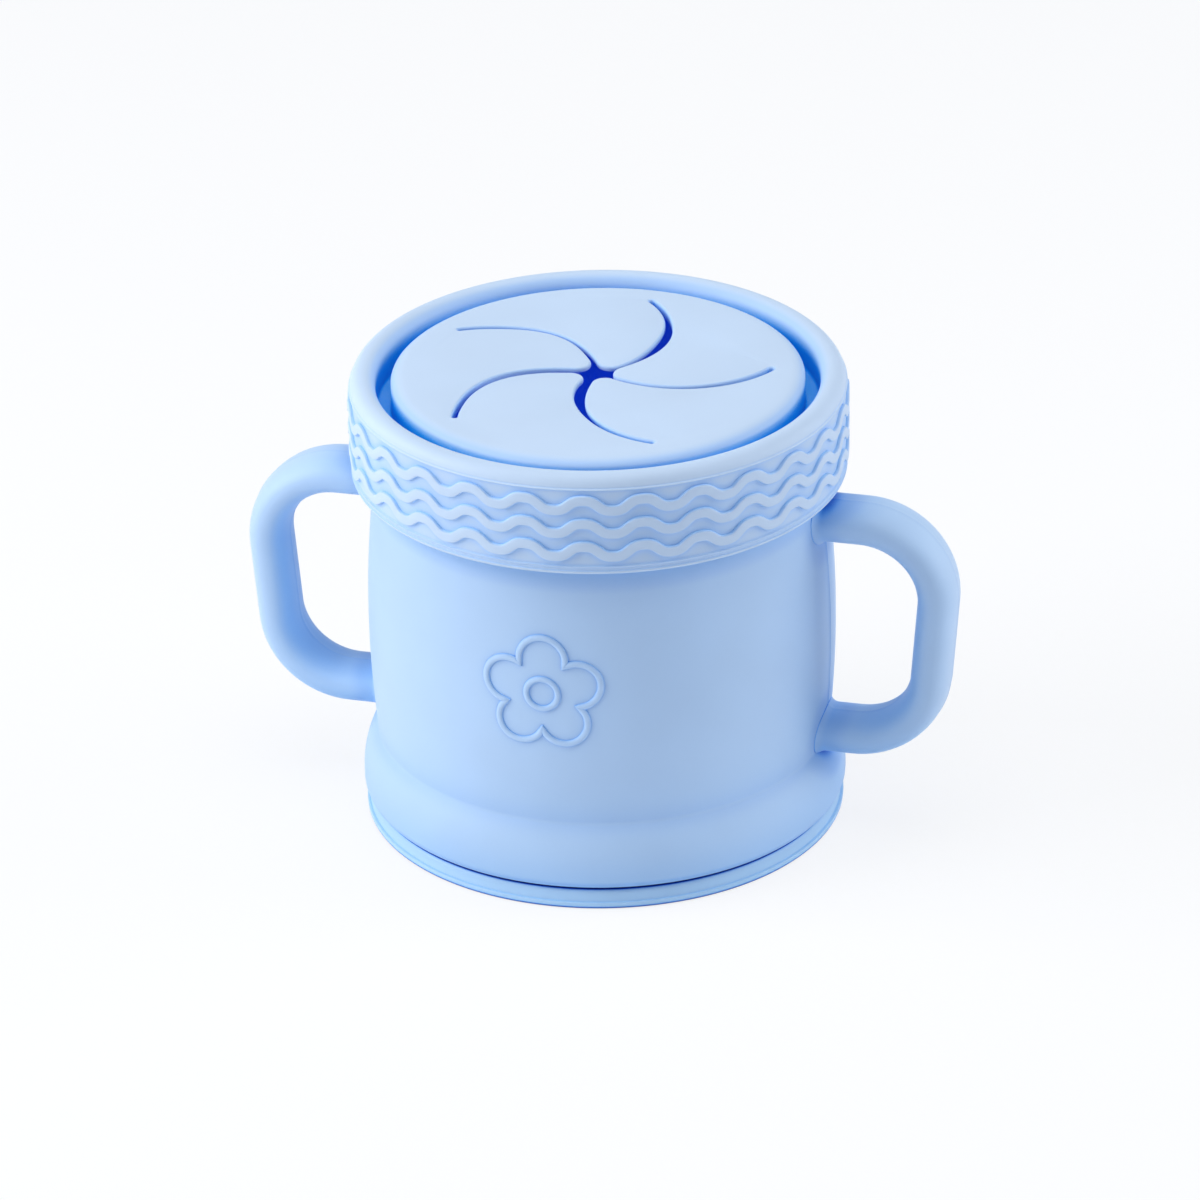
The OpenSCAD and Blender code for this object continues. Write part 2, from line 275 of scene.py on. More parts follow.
# The handle's section, and its middle line: an arm, a bend, the grip, a bend and an arm
HANDLE_T, HANDLE_W, BEND_R, GRIP_LEAN = 7.3, 12.6, 14.0, 4.5
REACH, UPPER_ARM_Z, LOWER_ARM_Z = BELLY_R + 23.9, RIM_Z - 16, FOOT_Z + 14.9
UPPER = Vector((REACH - HANDLE_T / 2 - BEND_R, UPPER_ARM_Z - BEND_R))
GRIP_TOP = UPPER + BEND_R * ray(-GRIP_LEAN)
GRIP_DROP = GRIP_TOP[1] - LOWER_ARM_Z - BEND_R * (1 - sin(radians(GRIP_LEAN)))
GRIP_STEP = Vector((-GRIP_DROP * tan(radians(GRIP_LEAN)), -GRIP_DROP))
LOWER = GRIP_TOP + GRIP_STEP - BEND_R * ray(-GRIP_LEAN)
ARM_X = BELLY_R + 2.4
# How far the rings of corners at a handle's root lie from the wall, the last one inside it
ROOT_FILLET = 1.5
ROOT_RINGS = (ROOT_FILLET, 1.1, 0.75, 0.45, 0.25, 0.15, -0.5)
# The fine lines that the mould's halves left: half their width, and how far they stand out
LINE_HALF_W, HANDLE_LINE, WALL_LINE = 0.22, 0.08, 0.14


def handle_section():
    """Corners of an oval a little fuller than an ellipse, with a fine ridge where the two
    halves of the mould met, as (thickness, width) in mm."""
    def fuller(x):
        return abs(x) ** 0.85 * (1 if x > 0 else -1)
    section = []
    for t in range(6, 360, 12):
        section.append((HANDLE_T / 2 * fuller(cos(radians(t))),
                        HANDLE_W / 2 * fuller(sin(radians(t)))))
    ridge = [(HANDLE_T / 2, -LINE_HALF_W), (HANDLE_T / 2 + HANDLE_LINE, 0.0),
             (HANDLE_T / 2, LINE_HALF_W)]
    middle = len(section) // 2
    return ridge[1:] + section[:middle] + [(-p, -w) for p, w in ridge] + section[middle:] + ridge[:1]


def flared_root(section, arm_z, rim_side, reach):
    """The section's corners near the wall: each swells as the fillet does at that reach."""
    spread = 0.0
    if reach < ROOT_FILLET:
        near = max(reach, 0.1 * ROOT_FILLET)
        spread = ROOT_FILLET - sqrt(ROOT_FILLET ** 2 - (ROOT_FILLET - near) ** 2)
    corners = []
    for p, w in section:
        size = hypot(p, w)
        y, z = w + w / size * spread, arm_z + rim_side * (p + p / size * spread)
        corners.append(Vector((sqrt(wall_r(z) ** 2 - y ** 2) + reach, y, z)) * MM)
    return corners


def selected(mesh):
    return [v for v in mesh.verts if v.select]


def spot_key(corner):
    """A corner's place, rounded so that it can be looked up."""
    return tuple(round(c, 9) for c in corner.co)


def right_handle():
    """From the upper arm round the grip to the lower arm, and in to the wall at both ends."""
    section = handle_section()
    piece = new_piece("handle")
    bpy.ops.mesh.primitive_circle_add(vertices=len(section), radius=HANDLE_T / 2 * MM)
    mesh = bmesh.from_edit_mesh(piece.data)
    ring = sorted(mesh.verts, key=lambda v: atan2(v.co.y, v.co.x))
    for corner, (p, w) in zip(ring, section):
        corner.co = Vector((ARM_X, w, UPPER_ARM_Z + p)) * MM
    bmesh.update_edit_mesh(piece.data)
    bpy.ops.mesh.extrude_region_move(
        TRANSFORM_OT_translate={"value": Vector((UPPER[0] - ARM_X, 0, 0)) * MM})
    bpy.ops.mesh.spin(steps=20, angle=radians(90 + GRIP_LEAN), axis=(0, -1, 0),
                      center=Vector((UPPER[0], 0, UPPER[1])) * MM)
    for third in range(3):
        bpy.ops.mesh.extrude_region_move(
            TRANSFORM_OT_translate={"value": Vector((GRIP_STEP[0], 0, GRIP_STEP[1])) / 3 * MM})
    bpy.ops.mesh.spin(steps=20, angle=radians(90 - GRIP_LEAN), axis=(0, -1, 0),
                      center=Vector((LOWER[0], 0, LOWER[1])) * MM)
    bpy.ops.mesh.extrude_region_move(
        TRANSFORM_OT_translate={"value": Vector((ARM_X - LOWER[0], 0, 0)) * MM})
    # Each root runs on to the wall and swells into it
    for arm_z, side in ((UPPER_ARM_Z, 1), (LOWER_ARM_Z, -1)):
        pick("VERT", lambda v: abs(v.co.x / MM - ARM_X) < ON_LINE
             and abs(v.co.z / MM - arm_z) < HANDLE_T)
        mesh = bmesh.from_edit_mesh(piece.data)
        where = {}
        for v in selected(mesh):
            where[spot_key(v)] = min(range(len(section)), key=lambda i: hypot(
                v.co.y / MM - section[i][1], v.co.z / MM - arm_z - side * section[i][0]))
        for reach in ROOT_RINGS:
            bpy.ops.mesh.extrude_region_move(TRANSFORM_OT_translate={"value": (0, 0, 0)})
            mesh = bmesh.from_edit_mesh(piece.data)
            root = flared_root(section, arm_z, side, reach)
            moved = {}
            for v in selected(mesh):
                i = where[spot_key(v)]
                v.co = root[i]
                moved[spot_key(v)] = i
            where = moved
            bmesh.update_edit_mesh(piece.data)
        bpy.ops.mesh.edge_face_add()
    close_up()
    leave()
    return piece


cup = turned("cup", cup_outline())

# A fine raised line up each side, where the two halves of the mould met
edit(cup)
for side in (1, -1):
    on_line = lambda v: abs(v.co.y) < 1e-7 and v.co.x * side > 0
    pick("EDGE", lambda e: all(
        on_line(v) and FOOT_TOP_Z + 1 < v.co.z / MM < NECK_Z - 1
        and abs(v.co.x * side / MM - wall_r(v.co.z / MM)) < ON_LINE for v in e.verts))
    bpy.ops.mesh.bevel(offset=LINE_HALF_W * MM, segments=2, affect="EDGES", clamp_overlap=False)
    pick("VERT", lambda v: on_line(v) and FOOT_TOP_Z + 2 < v.co.z / MM < NECK_Z - 2
         and v.co.x * side / MM > wall_r(v.co.z / MM) - 0.4)
    bpy.ops.transform.translate(value=(WALL_LINE * side * MM, 0, 0))
leave()

handle = right_handle()
other_handle = copy_of(handle, "left_handle_form")
edit(other_handle)
bpy.ops.mesh.select_all(action="SELECT")
bpy.ops.transform.rotate(value=pi, orient_axis="Z", center_override=(0, 0, 0))
leave()
for arm in (handle, other_handle):
    use(cup, "BOOLEAN", operation="UNION", solver="MANIFOLD", object=arm)
    bpy.data.objects.remove(arm)
edit(cup)
close_up()
leave()
smooth(cup, 40)


# ---- Lid, cut by five curved slits ----------------------------------------------------------


RIM_CURVE_R, GROOVE_EASE = 2.3, 0.7
DISC_EDGE_W, DISC_EDGE_H = 2.6, 1.5
PLUG_WALL, PLUG_DROP = 1.6, 5


def lid_outline():
    """From the slit plate out over the disc's edge, round the groove, the rim and the skirt,
    and back under the plug lip and the disc."""
    inner_r = DISC_R - 2
    return (
        [(PLATE_R, DISC_Z)]
        + [(DISC_R - DISC_EDGE_W + DISC_EDGE_W * cos(radians(t)),
            DISC_Z - DISC_EDGE_H + DISC_EDGE_H * sin(radians(t))) for t in range(90, -1, -9)]
        + eased((DISC_R, DISC_Z), (DISC_R, GROOVE_Z), (GROOVE_OUT_R, GROOVE_Z), GROOVE_EASE)
        + eased((DISC_R, GROOVE_Z), (GROOVE_OUT_R, GROOVE_Z), (GROOVE_OUT_R, LID_TOP_Z),
                GROOVE_EASE)
        + arc((LID_R - RIM_CURVE_R, LID_TOP_Z - RIM_CURVE_R), RIM_CURVE_R, 180, 12, 20)
        # The rim stands a little proud of the skirt, and so does the hem at the bottom
        + [(LID_R - 0.02, 85.5), (LID_R + 0.02, 85.25), (LID_R + 0.2, 85.1),
           (LID_R + 0.26, 84.98), (LID_R + 0.2, 84.86), (LID_R - 0.02, 84.75),
           (LID_R - 0.02, 84.5)]
        + [(LID_R - 0.02, 84.5 - i) for i in range(1, 14)]
        + [(LID_R - 0.02, 70.35), (LID_R, 70.2), (LID_R + 0.2, 70.06), (LID_R + 0.25, 69.95),
           (LID_R + 0.2, 69.82), (LID_R + 0.06, 69.6), (LID_R + 0.06, 69.2),
           (LID_R + 0.24, 69.04), (LID_R + 0.26, 68.9), (LID_R + 0.18, 68.7), (LID_R, SKIRT_Z)]
        + [(SKIRT_IN_R + 0.2, SKIRT_Z), (SKIRT_IN_R, SKIRT_Z + 0.2), (SKIRT_IN_R, RIM_Z),
           (PLUG_R, RIM_Z), (PLUG_R, RIM_Z - PLUG_DROP + 0.5), (PLUG_R - 0.5, RIM_Z - PLUG_DROP),
           (PLUG_R - PLUG_WALL, RIM_Z - PLUG_DROP), (PLUG_R - PLUG_WALL, RIM_Z - PLUG_DROP / 2),
           (inner_r, GROOVE_Z), (inner_r, DISC_Z - FLAP_T - 0.5),
           (inner_r - 0.5, DISC_Z - FLAP_T), (PLATE_R, DISC_Z - FLAP_T)]
    )


# In a flap's own frame its bending line lies square to +X. Its edges are arcs round NEAR and
# FAR, which reach the slits' outer ends at these angles.
NEAR = SLIT_R * ray(90 - SLIT_SWEEP / 2 - HINGE_TURN)
FAR = SLIT_R * ray(90 - SLIT_SWEEP / 2 + FLAP_TURN - HINGE_TURN)
NEAR_END, FAR_END = -90, -90 + FLAP_TURN
# Roughly the direction of the flap's middle, seen from each
NEAR_MIDDLE, FAR_MIDDLE = -135, -65
NEAR_R, FAR_R = SLIT_R - SLIT_W / 2, SLIT_R + SLIT_W / 2


def tip_centre():
    """Centre of the circle at a flap's tip, which touches both of the flap's edges."""
    a, b = NEAR_R - TIP_R, FAR_R + TIP_R
    gap = (FAR - NEAR).length
    line = (FAR - NEAR) / gap
    along = (a * a - b * b + gap * gap) / (2 * gap)
    return NEAR + along * line + sqrt(a * a - along * along) * Vector((-line[1], line[0]))


TIP = tip_centre()


def angle_near(v, other):
    """A vector's direction in degrees, within half a turn of the other angle."""
    t = degrees(atan2(v[1], v[0]))
    return t - 360 * round((t - other) / 360)


# The slits have taken a set in use. For each: how far its line has moved over and how much
# wider it stands in mm, the middle of that as a share of the way in from the slit's outer
# end, and how far off that it fades.
SLIT_SET = ((0.0, 0.3, 0.3, 0.7), (-0.1, 1.2, 0.55, 0.36), (0.8, -0.5, 0.5, 0.36),
            (1.4, 0.1, 0.5, 0.44), (0.0, 1.3, 0.8, 0.4))


def slit_line(slit, along):
    """Radius of the slit's middle line there, and half the slit's width."""
    moved, opened, middle, reach = SLIT_SET[slit % FLAPS]
    here = cos(pi / 2 * min(1.0, abs(along - middle) / reach)) ** 2
    return SLIT_R + moved * here, (SLIT_W + opened * here) / 2


def near_edge(k, t):
    middle, half = slit_line(k, (NEAR_END - t) / SLIT_SWEEP)
    return NEAR + (middle - half) * ray(t)


def far_edge(k, t):
    middle, half = slit_line(k + 1, (FAR_END - t) / SLIT_SWEEP)
    return FAR + (middle + half) * ray(t)


# Corners along a flap's near edge, tip and far edge, on from there to the slit's end, and
# round the slit's end
NEAR_STEPS, TIP_STEPS, FAR_STEPS, PAST_STEPS, END_STEPS = 60, 12, 44, 30, 10


def flap_edges(k):
    """The edge of flap k, from its near end at the bending line round the tip and back, and
    the same side of the slit from there out to the slit's end."""
    near_end = angle_near(TIP - NEAR, -180)
    far_start = angle_near(TIP - FAR, -120)
    tip_end = angle_near(FAR - TIP, near_end - 90)
    low, high = FAR_END - 82.0, FAR_END
    for halving in range(40):
        seam = (low + high) / 2
        low, high = (seam, high) if far_edge(k, seam)[0] < SEAM_R else (low, seam)
    near = [near_edge(k, NEAR_END + (near_end - NEAR_END) * i / NEAR_STEPS)
            for i in range(NEAR_STEPS + 1)]
    first_r, last_r = (near[-1] - TIP).length, (far_edge(k, far_start) - TIP).length
    tip = [TIP + (first_r + (last_r - first_r) * i / TIP_STEPS)
           * ray(near_end + (tip_end - near_end) * i / TIP_STEPS) for i in range(1, TIP_STEPS)]
    far = [far_edge(k, far_start + (seam - far_start) * i / FAR_STEPS)
           for i in range(FAR_STEPS + 1)]
    past = [far_edge(k, seam + (FAR_END - seam) * i / PAST_STEPS)
            for i in range(PAST_STEPS + 1)]
    return near + tip + far, past


def in_lid(point, k):
    """A point of flap k's frame, set in the lid on the disc's face."""
    t = radians(FIRST_SLIT + HINGE_TURN + FLAP_TURN * k)
    x, y = point
    return Vector((x * cos(t) - y * sin(t), x * sin(t) + y * cos(t), DISC_Z))


def in_flap(spot, k):
    """A spot of the lid in mm, seen in flap k's frame."""
    t = -radians(FIRST_SLIT + HINGE_TURN + FLAP_TURN * k)
    return Vector((spot[0] * cos(t) - spot[1] * sin(t), spot[0] * sin(t) + spot[1] * cos(t)))


# A corner this near a spot is at it, in mm
AT_SPOT = 0.004


def fill_between(spots):
    """Fills the face whose corners lie at these spots of the open piece. Each spot is also
    looked up a hair to every side, because a corner's place may round the other way."""
    wanted = {(round(s[0], 2), round(s[1], 2)) for s in spots}
    wanted |= {(round(s[0] + dx, 2), round(s[1] + dy, 2)) for s in spots
               for dx in (-AT_SPOT, AT_SPOT) for dy in (-AT_SPOT, AT_SPOT)}
    pick("VERT", lambda v: (round(v.co.x / MM, 2), round(v.co.y / MM, 2)) in wanted)
    bpy.ops.mesh.edge_face_add()


def slit_plate():
    """The middle of the disc, as thick as the flaps and cut by the five slits."""
    piece = new_piece("plate")
    edges, past = zip(*[flap_edges(k) for k in range(FLAPS)])
    end = [FAR + SLIT_R * ray(FAR_END) + SLIT_W / 2 * ray(FAR_END + 180 * i / END_STEPS)
           for i in range(END_STEPS + 1)]
    loop = []
    for k in range(FLAPS):
        loop += [in_lid(p, k) for p in edges[k] + past[k][1:] + end[1:-1]]
    draw(loop)
    pick("VERT", lambda v: (place(v) - loop[0]).length < 0.001
         or (place(v) - loop[-1]).length < 0.001)
    bpy.ops.mesh.edge_face_add()
    bpy.ops.mesh.select_all(action="DESELECT")
    bpy.ops.mesh.primitive_circle_add(vertices=STEPS, radius=PLATE_R * MM,
                                      location=(0, 0, DISC_Z * MM))
    # A seam across each flap's root, and a line out from each slit's end
    spot = lambda v, p: (place(v) - p).length < AT_SPOT
    for k in range(FLAPS):
        a, b = in_lid(edges[k][0], k), in_lid(edges[k][-1], k)
        pick("VERT", lambda v: spot(v, a) or spot(v, b))
        bpy.ops.mesh.edge_face_add()
        a = in_lid(end[2], k)
        b = Vector((*(PLATE_R * ray(FIRST_SLIT + FLAP_TURN * (k + 1))), DISC_Z))
        pick("VERT", lambda v: spot(v, a) or spot(v, b))
        bpy.ops.mesh.edge_face_add()
    for k in range(FLAPS):
        fill_between([in_lid(p, k) for p in edges[k]])
    for k in range(FLAPS):
        first = FIRST_SLIT + FLAP_TURN * k
        fill_between(
            [in_lid(p, k - 1) for p in end[2:]]
            + [in_lid(edges[k][0], k), in_lid(edges[k][-1], k)]
            + [in_lid(p, k) for p in past[k]] + [in_lid(p, k) for p in end[:3]]
            + [PLATE_R * ray(first + 360 / STEPS * i) for i in range(STEPS // FLAPS + 1)])
    bpy.ops.mesh.select_mode(type="FACE")
    bpy.ops.mesh.select_all(action="SELECT")
    bpy.ops.mesh.extrude_region_move(TRANSFORM_OT_translate={"value": (0, 0, -FLAP_T * MM)})
    pick("EDGE", lambda e: abs(e.verts[0].co.z - e.verts[1].co.z) > MM
         and hypot(e.verts[0].co.x, e.verts[0].co.y) > (PLATE_R - 0.05) * MM)
    bpy.ops.mesh.delete(type="EDGE")
    leave()
    return piece


lid = turned("lid", lid_outline())
join(lid, slit_plate())
edit(lid)
close_up()
# Round the edges of the slits, softly above and a little below
for z, round_off in ((DISC_Z, 0.45), (DISC_Z - FLAP_T, 0.3)):
    pick("EDGE", lambda e: all(abs(v.co.z / MM - z) < ON_LINE for v in e.verts)
         and any(abs(f.normal.z) < 0.1 for f in e.link_faces)
         and all(hypot(v.co.x, v.co.y) < (PLATE_R - 0.5) * MM for v in e.verts))
    bpy.ops.mesh.bevel(offset=round_off * MM, segments=4, affect="EDGES", clamp_overlap=False)
leave()

# The disc is cut at each flap's bending line, and the cut ends are closed
flaps = []
for k in range(FLAPS):
    def on_flap(face):
        spot = in_flap(face.calc_center_median() / MM, k)
        near, far = spot - NEAR, spot - FAR
        near_line = slit_line(k, (NEAR_END - angle_near(near, NEAR_MIDDLE)) / SLIT_SWEEP)[0]
        far_line = slit_line(k + 1, (FAR_END - angle_near(far, FAR_MIDDLE)) / SLIT_SWEEP)[0]
        return (face.calc_center_median().z > (DISC_Z - FLAP_T - 0.1) * MM
                and spot[0] < SEAM_R - 1e-4
                and near.length < near_line and far.length > far_line)
    edit(lid)
    pick("FACE", on_flap)
    bpy.ops.mesh.separate(type="SELECTED")
    leave()
    flap = [o for o in bpy.context.selected_objects if o != lid][0]
    flap.name = flap.data.name = f"lid_flap_{k + 1}"
    flaps.append(flap)
for piece in [lid] + flaps:
    edit(piece)
    bpy.ops.mesh.select_all(action="SELECT")
    bpy.ops.mesh.fill_holes(sides=0)
    close_up()
    leave()

# Each flap gets rows of corners to bend along, close together near its root. It thins from
# below towards its tip, and the tip has sunk a little.
ROOT_ROW, ROOT_ROWS_END, TIP_ROW = 0.35, 3.85, 1.5
BEND_ROWS = ([SEAM_R - ROOT_ROW * i for i in range(1, 12)]
             + [SEAM_R - ROOT_ROWS_END - TIP_ROW * i for i in range(1, 13)])
TIP_THINNING, THINS_BY, SINKS_BY = 0.9, 1.6, 1.6
TIP_DROP = (0.25, 0.5, 0.1, 0.45, 0.0)
for k, flap in enumerate(flaps):
    across = in_lid((1, 0), k).xy.to_3d() - in_lid((0, 0), k).xy.to_3d()
    edit(flap)
    for row in BEND_ROWS:
        bpy.ops.mesh.select_all(action="SELECT")
        bpy.ops.mesh.bisect(plane_co=across * row * MM, plane_no=across)
    mesh = bmesh.from_edit_mesh(flap.data)
    for corner in mesh.verts:
        away = max(0.0, min(1.0, (SEAM_R - 1.0 - in_flap(place(corner), k)[0]) / SEAM_R))
        if corner.co.z < (DISC_Z - 1) * MM:
            corner.co.z += TIP_THINNING * min(1.0, THINS_BY * away) * MM
        corner.co.z -= TIP_DROP[k] * away ** SINKS_BY * MM
    bmesh.update_edit_mesh(flap.data)
    leave()
    smooth(flap)
smooth(lid)


# ---- Wavy ribs round the lid's skirt --------------------------------------------------------

WAVES, WAVE_H, RIB_W, RIB_OUT = 27, 2.0, 1.95, 0.6
ROW_PITCH, TOP_ROW_Z, CREST_TURN = 4.5, 82.0, -79.0
# Corners along one wave, how deep a rib sits in the skirt, how round its edges are, and the
# share of a third of the wavelength that broadens the crests
WAVE_STEPS, RIB_SUNK, RIB_EDGE, BROADEN = 20, 0.12, 0.24, 0.09

deselect()
bpy.ops.mesh.primitive_cylinder_add(vertices=WAVES * WAVE_STEPS, radius=(LID_R - RIB_SUNK) * MM,
                                    depth=RIB_W * MM, end_fill_type="NOTHING",
                                    location=(0, 0, TOP_ROW_Z * MM))
ribs = bpy.context.object
ribs.name = ribs.data.name = "lid_ribs"
bpy.ops.object.transform_apply(location=True, rotation=True, scale=True)
edit(ribs)
mesh = bmesh.from_edit_mesh(ribs.data)
for corner in mesh.verts:
    t = degrees(atan2(corner.co.y, corner.co.x))
    phase = radians(WAVES * (t - CREST_TURN))
    # A wave with broad crests and steep flanks between them
    rise = WAVE_H / 2 * (cos(phase) - BROADEN * cos(3 * phase)) / (1 - BROADEN)
    slope = (-WAVE_H / 2 * (sin(phase) - 3 * BROADEN * sin(3 * phase)) / (1 - BROADEN)
             * WAVES / LID_R)
    side = 1 if corner.co.z > TOP_ROW_Z * MM else -1
    off = Vector((-slope, 1)).normalized() * side * RIB_W / 2
    turn = radians(t) + off[0] / LID_R
    r = hypot(corner.co.x, corner.co.y)
    corner.co = (r * cos(turn), r * sin(turn),
                 (TOP_ROW_Z + rise + off[1]) * MM)
bmesh.update_edit_mesh(ribs.data)
leave()
use(ribs, "SOLIDIFY", thickness=(RIB_OUT + RIB_SUNK) * MM, offset=1)
edit(ribs)
pick("EDGE", lambda e: all(hypot(v.co.x, v.co.y) > (LID_R + 0.4) * MM for v in e.verts)
     and any(abs(f.normal.x * f.calc_center_median().x + f.normal.y * f.calc_center_median().y)
             < 0.5 * LID_R * MM for f in e.link_faces))
bpy.ops.mesh.bevel(offset=RIB_EDGE * MM, segments=3, affect="EDGES", clamp_overlap=False)
close_up()
leave()
lower_rows = [copy_of(ribs, "lower_row") for row in (1, 2)]
for row, lower in enumerate(lower_rows, 1):
    edit(lower)
    bpy.ops.mesh.select_all(action="SELECT")
    bpy.ops.transform.translate(value=(0, 0, -row * ROW_PITCH * MM))
    leave()
join(ribs, *lower_rows)
smooth(ribs, 40)


# ---- Base cover -----------------------------------------------------------------------------

# A flat dish with a ledge round its lower lip, and a ring that plugs into the foot's recess
COVER_R, COVER_T, RING_R, RING_TOP_Z = FOOT_R - 0.4, 4.0, 40.087, 9.0
LIP_CURVE_R, RING_CURVE_R = 0.8, 0.4
base = turned("base_cover_dish", (
    [(0, 0), (30, 0)]
    + eased((0, 0), (COVER_R, 0), (COVER_R, 1.3), 0.7, 5)
    + [(COVER_R, 0.9), (COVER_R, 1.15), (COVER_R - 0.08, 1.27), (COVER_R - 0.5, 1.36),
       (COVER_R - 0.55, 1.5), (COVER_R - 0.6, 2.3)]
    + arc((COVER_R - 0.62 - LIP_CURVE_R, COVER_T - 1.1), LIP_CURVE_R, 0, 90, 7)
    + [(41.6, COVER_T - 0.35), (41.2, COVER_T), (RING_R + 0.4, COVER_T),
       (RING_R, COVER_T + 0.35), (RING_R, RING_TOP_Z - RING_CURVE_R)]
    + arc((RING_R - RING_CURVE_R, RING_TOP_Z - RING_CURVE_R), RING_CURVE_R, 0, 90, 4)
    + arc((RING_R - 1.8, RING_TOP_Z - RING_CURVE_R), RING_CURVE_R, 90, 180, 4)
    + [(RING_R - 2.2, COVER_T + 0.4), (RING_R - 2.6, COVER_T), (18, COVER_T), (0, COVER_T)]
))
smooth(base)


# ---- Blossom on the cup's front --------------------------------------------------------------

BLOSSOM_Z, BLOSSOM_R, BLOSSOM_H = 43.0, 11.0, 0.45
PETAL_LINE_W, MIDDLE_R, MIDDLE_LINE_W = 1.3, 2.9, 1.2
# Size of the torus before it is laid onto the wall
LOOP_R = 10


def on_wall(u, v, out):
    """A point u mm round the front of the wall and v mm up from the blossom's middle."""
    r = wall_r(BLOSSOM_Z + v)
    t = -pi / 2 + u / r
    return Vector(((r + out) * cos(t), (r + out) * sin(t), BLOSSOM_Z + v)) * MM


def raised_line(name, radius_at, width, high):
    """A closed raised line on the wall: a torus laid onto it at that radius all round."""
    deselect()
    bpy.ops.mesh.primitive_torus_add(major_segments=200, minor_segments=12,
                                     major_radius=LOOP_R * MM, minor_radius=MM)
    piece = bpy.context.object
    piece.name = piece.data.name = name
    edit(piece)
    mesh = bmesh.from_edit_mesh(piece.data)
    for corner in mesh.verts:
        x, y, z = place(corner)
        t, across = atan2(y, x), hypot(x, y) - LOOP_R
        r = radius_at(t)
        slope = (radius_at(t + 0.01) - radius_at(t - 0.01)) / 0.02
        away = Vector((r, -slope)).normalized() * across * width / 2
        u = (r + away[0]) * cos(t) - away[1] * sin(t)
        v = (r + away[0]) * sin(t) + away[1] * cos(t)
        corner.co = on_wall(u, v, z * high)
    bmesh.update_edit_mesh(piece.data)
    close_up()
    leave()
    return piece


def petals(t):
    """How far out the five petals reach in that direction, in radians."""
    return BLOSSOM_R * (0.62 + 0.38 * abs(cos(2.5 * (t - pi / 2))) ** 0.7)


blossom = raised_line("cup_blossom", petals, PETAL_LINE_W, BLOSSOM_H)
join(blossom, raised_line("blossom_middle", lambda t: MIDDLE_R, MIDDLE_LINE_W, BLOSSOM_H))
smooth(blossom, 60)


# ---- Materials -------------------------------------------------------------------------------


def colour(code):
    """An sRGB hex value as linear red, green and blue."""
    parts = [int(code[i:i + 2], 16) / 255 for i in (1, 3, 5)]
    return tuple(c / 12.92 if c <= 0.04045 else ((c + 0.055) / 1.055) ** 2.4
                 for c in parts) + (1.0,)


def add_node(material, kind, inputs=(), **settings):
    """Adds a node, sets it up, and gives each input a value or a link."""
    tree = material.node_tree
    made = tree.nodes.new(kind)
    for name, value in settings.items():
        setattr(made, name, value)
    for socket, value in dict(inputs).items():
        if isinstance(value, bpy.types.NodeSocket):
            tree.links.new(value, made.inputs[socket])
        else:
            made.inputs[socket].default_value = value
    return made


WHITE = (1, 1, 1, 1)
# How far round, in mm, a place is tested for what closes it in, for three painted shades: the
# width of the shade in recesses, its reach near other parts and the floor, and a thin line's width
RECESS_SHADE_REACH, NEARBY_SHADE_REACH, LINE_SHADE_REACH = 6, 40, 1.5
RECESS_SHADE_RAYS, NEARBY_SHADE_RAYS, LINE_SHADE_RAYS = 24, 8, 10
# Painted shade near other parts: full at the first openness, none at the second
NEARBY_SHADE_FULL_AT, NEARBY_SHADE_NONE_AT = 0.35, 0.82
# Painted shade of the thin lines, from closed in to open
LINE_SHADE_TONES = ((0.2, "#5095e7"), (0.5, "#e9f3fd"), (0.85, "#ffffff"))
# Sizes of the clouds in the pigment, of the mould's grain and of the slow swell, and heights
# of the last two, in mm. The grain is really 0.05 mm wide, drawn coarser so that it shows.
CLOUD_W, GRAIN_W, GRAIN_H, SWELL_W, SWELL_H = 25, 0.4, 0.006, 9, 0.03
CLOUD_TINT, CLOUD_DULL = 0.03, 0.04
RUBBER_IOR = 1.41
MULTIPLY = {"data_type": "RGBA", "blend_type": "MULTIPLY"}


def painted_shade_by_openness(material, reach, rays, tones):
    """Painted shade: a colour by how open the surface is within that reach in mm, from closed in to
    open.
    """
    openness = add_node(material, "ShaderNodeAmbientOcclusion", {"Distance": reach * MM},
                        samples=rays).outputs["AO"]
    tone = add_node(material, "ShaderNodeValToRGB", {"Fac": openness})
    ramp = tone.color_ramp
    for end, (position, code) in zip(ramp.elements, (tones[0], tones[-1])):
        end.position, end.color = position, colour(code)
    for position, code in tones[1:-1]:
        ramp.elements.new(position).color = colour(code)
    return tone.outputs["Color"]


